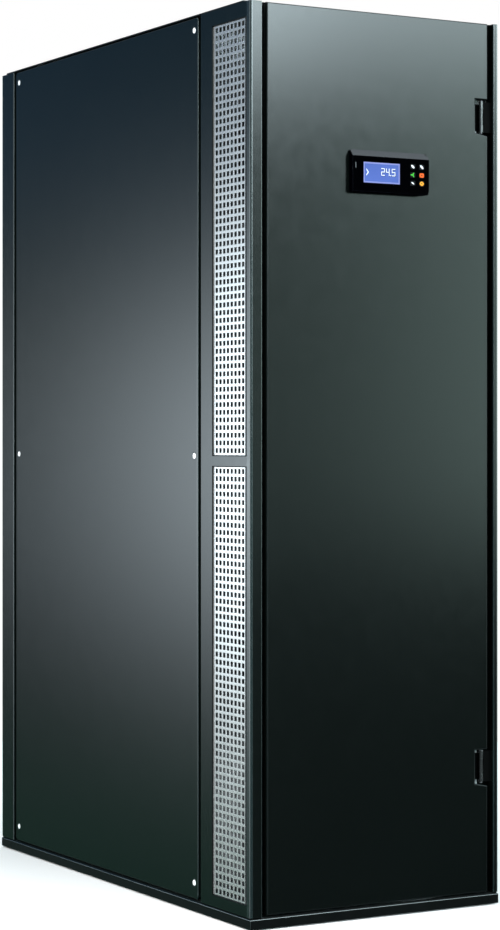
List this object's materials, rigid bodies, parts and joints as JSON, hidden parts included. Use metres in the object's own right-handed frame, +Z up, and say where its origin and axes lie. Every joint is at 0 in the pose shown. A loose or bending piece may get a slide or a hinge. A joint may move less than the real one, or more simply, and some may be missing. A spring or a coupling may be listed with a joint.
{
  "type": "in-row cooling unit",
  "caption": "Tall floor-standing in-row cooling cabinet: solid front door with a display, side outlet grilles, fans, coil, filter and a slotted rear door.",
  "frame": {"origin": "middle of the floor footprint, at floor level", "axes": "+Z up, -Y towards the front door, +X to the right as seen from the front"},
  "size_m": [0.6, 1.23, 1.85],
  "materials": {
    "case_coat": "satin black-green powder coat",
    "base_coat": "satin black powder coat",
    "grille_white": "white powder coat on perforated sheet",
    "galvanised": "galvanised sheet",
    "zinc": "bright zinc plate",
    "hinge_black": "black zinc",
    "bezel": "gloss black",
    "screen": "back-lit blue display",
    "key_white": "back-lit white",
    "key_green": "back-lit green",
    "key_red": "back-lit orange-red",
    "key_amber": "back-lit amber",
    "seal": "EPDM foam seal",
    "fan_plastic": "glass-filled nylon",
    "motor": "black e-coat",
    "guard_wire": "plated wire",
    "fin_alloy": "mill finish fins",
    "copper": "drawn copper tube",
    "valve_brass": "forged brass",
    "tray_steel": "stainless",
    "pump_plastic": "moulded ABS",
    "riser_plastic": "white nylon tube",
    "box_grey": "light grey powder coat",
    "breaker_plastic": "moulded light grey",
    "board_green": "solder mask",
    "switch_plastic": "black nylon",
    "knob_red": "red moulded",
    "gland_nylon": "black nylon",
    "magnet": "coated ferrite",
    "filter_steel": "folded frame",
    "filter_paper": "pleated fibre",
    "latch_black": "black die-cast, coated",
    "foot_steel": "zinc plate"
  },
  "bodies": {
    "cabinet": {"base_frame": "base_coat", "floor_pan": "galvanised", "outlet_frame_left": "case_coat", "outlet_frame_right": "case_coat", "rear_post_left": "case_coat", "rear_post_right": "case_coat", "roof_panel": "base_coat", "side_panel_left": "case_coat", "side_panel_right": "case_coat", "side_panel_screws": "zinc", "outlet_grille_left": "grille_white", "outlet_grille_right": "grille_white", "fan_bulkhead": "galvanised", "fan_shrouds": "fan_plastic", "fan_guards": "guard_wire", "fan_motors": "motor", "coil_core": "fin_alloy", "coil_headers": "copper", "coil_end_plates": "galvanised", "drip_tray": "tray_steel", "condensate_pump": "pump_plastic", "condensate_pipe": "riser_plastic", "electrical_box": "box_grey", "electrical_box_cover": "box_grey", "circuit_breakers": "breaker_plastic", "control_board": "board_green", "main_switch": "switch_plastic", "supply_pipe": "copper", "return_pipe": "copper", "control_valve": "valve_brass", "cable_glands": "gland_nylon", "hinge_brackets": "hinge_black", "hinge_pins": "zinc", "door_magnets": "magnet", "filter_rails": "galvanised"},
    "front_door": {"front_door_skin": "case_coat", "front_door_inner_panel": "galvanised", "front_door_gasket": "seal", "front_door_hinge_leaves": "hinge_black", "controller_housing": "bezel", "display_screen": "screen"},
    "alarm_key": {"key_alarm": "key_white"},
    "program_key": {"key_program": "key_white"},
    "escape_key": {"key_escape": "key_green"},
    "up_key": {"key_up": "key_red"},
    "enter_key": {"key_enter": "key_white"},
    "down_key": {"key_down": "key_amber"},
    "rear_door_body": {"rear_door": "case_coat", "rear_door_hinge_leaves": "hinge_black"},
    "rear_latch": {"rear_door_latch": "latch_black"},
    "lower_fan": {"fan_impeller_lower": "fan_plastic"},
    "middle_fan": {"fan_impeller_middle": "fan_plastic"},
    "upper_fan": {"fan_impeller_upper": "fan_plastic"},
    "air_filter": {"filter_frame": "filter_steel", "filter_media": "filter_paper"},
    "switch_knob": {"main_switch_knob": "knob_red"},
    "foot_front_left": {"levelling_foot_front_left": "foot_steel"},
    "foot_front_right": {"levelling_foot_front_right": "foot_steel"},
    "foot_rear_left": {"levelling_foot_rear_left": "foot_steel"},
    "foot_rear_right": {"levelling_foot_rear_right": "foot_steel"}
  },
  "joints": [
    {"name": "front_door_hinge", "type": "hinge", "parent": "cabinet", "child": "front_door", "pos_m": [0.262, -0.59, 0.935], "axis": [0, 0, 1], "range_deg": [0, 120]},
    {"name": "rear_door_hinge", "type": "hinge", "parent": "cabinet", "child": "rear_door_body", "pos_m": [-0.262, 0.59, 0.935], "axis": [0, 0, 1], "range_deg": [0, 120]},
    {"name": "rear_latch_turn", "type": "hinge", "parent": "rear_door_body", "child": "rear_latch", "pos_m": [0.2, 0.6, 0.95], "axis": [0, 1, 0], "range_deg": [0, 90]},
    {"name": "alarm_key_press", "type": "slide", "parent": "front_door", "child": "alarm_key", "axis": [0, 1, 0], "range_m": [0, 0.0012], "stiffness_N_per_m": 1000, "springref_m": -0.001},
    {"name": "program_key_press", "type": "slide", "parent": "front_door", "child": "program_key", "axis": [0, 1, 0], "range_m": [0, 0.0012], "stiffness_N_per_m": 1000, "springref_m": -0.001},
    {"name": "escape_key_press", "type": "slide", "parent": "front_door", "child": "escape_key", "axis": [0, 1, 0], "range_m": [0, 0.0012], "stiffness_N_per_m": 1000, "springref_m": -0.001},
    {"name": "up_key_press", "type": "slide", "parent": "front_door", "child": "up_key", "axis": [0, 1, 0], "range_m": [0, 0.0012], "stiffness_N_per_m": 1000, "springref_m": -0.001},
    {"name": "enter_key_press", "type": "slide", "parent": "front_door", "child": "enter_key", "axis": [0, 1, 0], "range_m": [0, 0.0012], "stiffness_N_per_m": 1000, "springref_m": -0.001},
    {"name": "down_key_press", "type": "slide", "parent": "front_door", "child": "down_key", "axis": [0, 1, 0], "range_m": [0, 0.0012], "stiffness_N_per_m": 1000, "springref_m": -0.001},
    {"name": "lower_fan_spin", "type": "hinge", "parent": "cabinet", "child": "lower_fan", "pos_m": [0, -0.36, 0.56], "axis": [0, 1, 0], "continuous": true},
    {"name": "middle_fan_spin", "type": "hinge", "parent": "cabinet", "child": "middle_fan", "pos_m": [0, -0.36, 1.065], "axis": [0, 1, 0], "continuous": true},
    {"name": "upper_fan_spin", "type": "hinge", "parent": "cabinet", "child": "upper_fan", "pos_m": [0, -0.36, 1.57], "axis": [0, 1, 0], "continuous": true},
    {"name": "filter_pull", "type": "slide", "parent": "cabinet", "child": "air_filter", "axis": [0, 1, 0], "range_m": [0, 0.035]},
    {"name": "switch_turn", "type": "hinge", "parent": "cabinet", "child": "switch_knob", "pos_m": [0.13, -0.548, 0.23], "axis": [0, 1, 0], "range_deg": [0, 90]},
    {"name": "front_left_foot_screw", "type": "slide", "parent": "cabinet", "child": "foot_front_left", "axis": [0, 0, -1], "range_m": [-0.005, 0.025]},
    {"name": "front_right_foot_screw", "type": "slide", "parent": "cabinet", "child": "foot_front_right", "axis": [0, 0, -1], "range_m": [-0.005, 0.025]},
    {"name": "rear_left_foot_screw", "type": "slide", "parent": "cabinet", "child": "foot_rear_left", "axis": [0, 0, -1], "range_m": [-0.005, 0.025]},
    {"name": "rear_right_foot_screw", "type": "slide", "parent": "cabinet", "child": "foot_rear_right", "axis": [0, 0, -1], "range_m": [-0.005, 0.025]}
  ]
}
